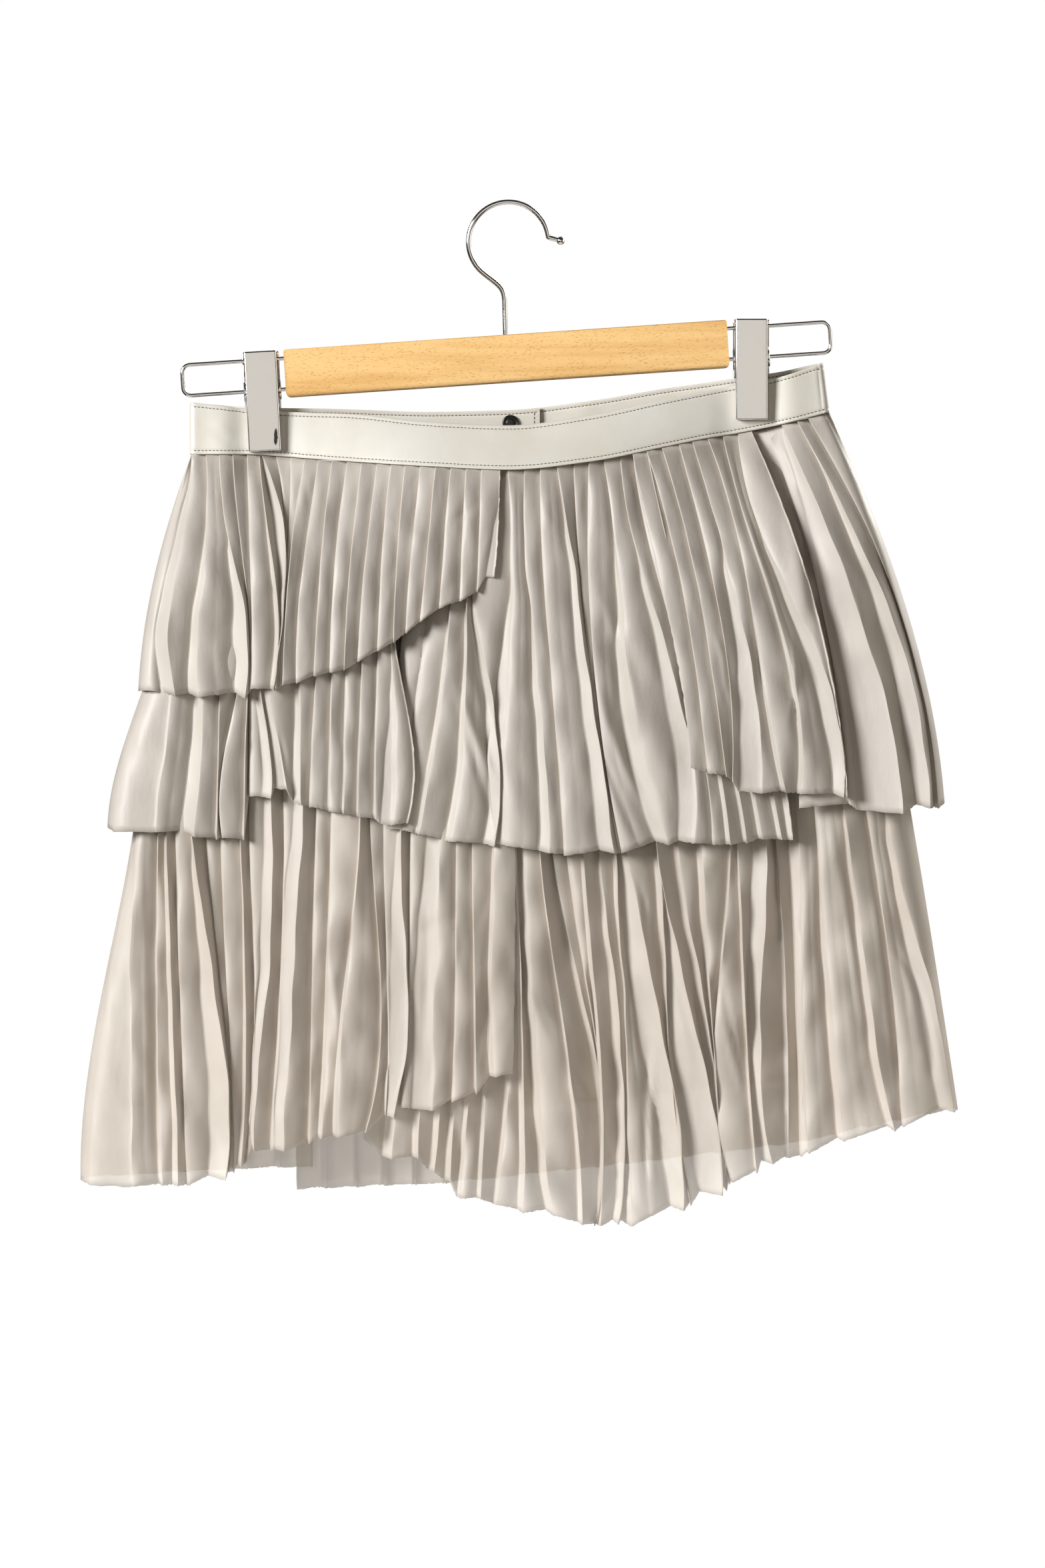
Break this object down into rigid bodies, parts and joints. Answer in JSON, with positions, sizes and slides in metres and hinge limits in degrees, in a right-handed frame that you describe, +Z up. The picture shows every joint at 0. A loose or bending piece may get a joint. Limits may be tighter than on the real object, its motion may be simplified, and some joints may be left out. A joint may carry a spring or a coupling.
{
  "type": "pleated mini skirt on a clip hanger",
  "caption": "Wrapped mini skirt of tiered knife-pleated flounces with a leather waistband, held by the clips of a wooden hanger with a wire hook.",
  "frame": {"origin": "inside of the top of the hook, where it rests on a rail", "axes": "+Z up, +X to the right seen from the front, -Y out of the front of the skirt"},
  "size_m": [0.487, 0.0849, 0.5707],
  "materials": {
    "satin": "stone satin, knife pleated",
    "lining": "smooth stone lining cloth",
    "leather": "smooth cream leather, topstitched",
    "gunmetal": "dark plated press stud",
    "beech": "clear satin lacquer on beech",
    "chrome": "bright chrome plate"
  },
  "bodies": {
    "root": {"flounce_upper_left": "satin", "flounce_upper_right": "satin", "flounce_upper_side": "satin", "flounce_middle_main": "satin", "flounce_middle_left": "satin", "flounce_lower_left": "satin", "flounce_lower_main": "satin", "back_upper": "satin", "back_middle": "satin", "back_lower_left": "satin", "back_lower_right": "satin", "lining_front": "lining", "lining_back": "lining", "waistband_front": "leather", "waistband_back_left": "leather", "waistband_back_right": "leather", "snap": "gunmetal", "hanger_bar": "beech", "hanger_hook": "chrome", "hanger_loop_left": "chrome", "hanger_loop_right": "chrome", "clip_left_front": "chrome", "clip_left_back": "chrome", "clip_right_front": "chrome", "clip_right_back": "chrome"}
  },
  "joints": []
}
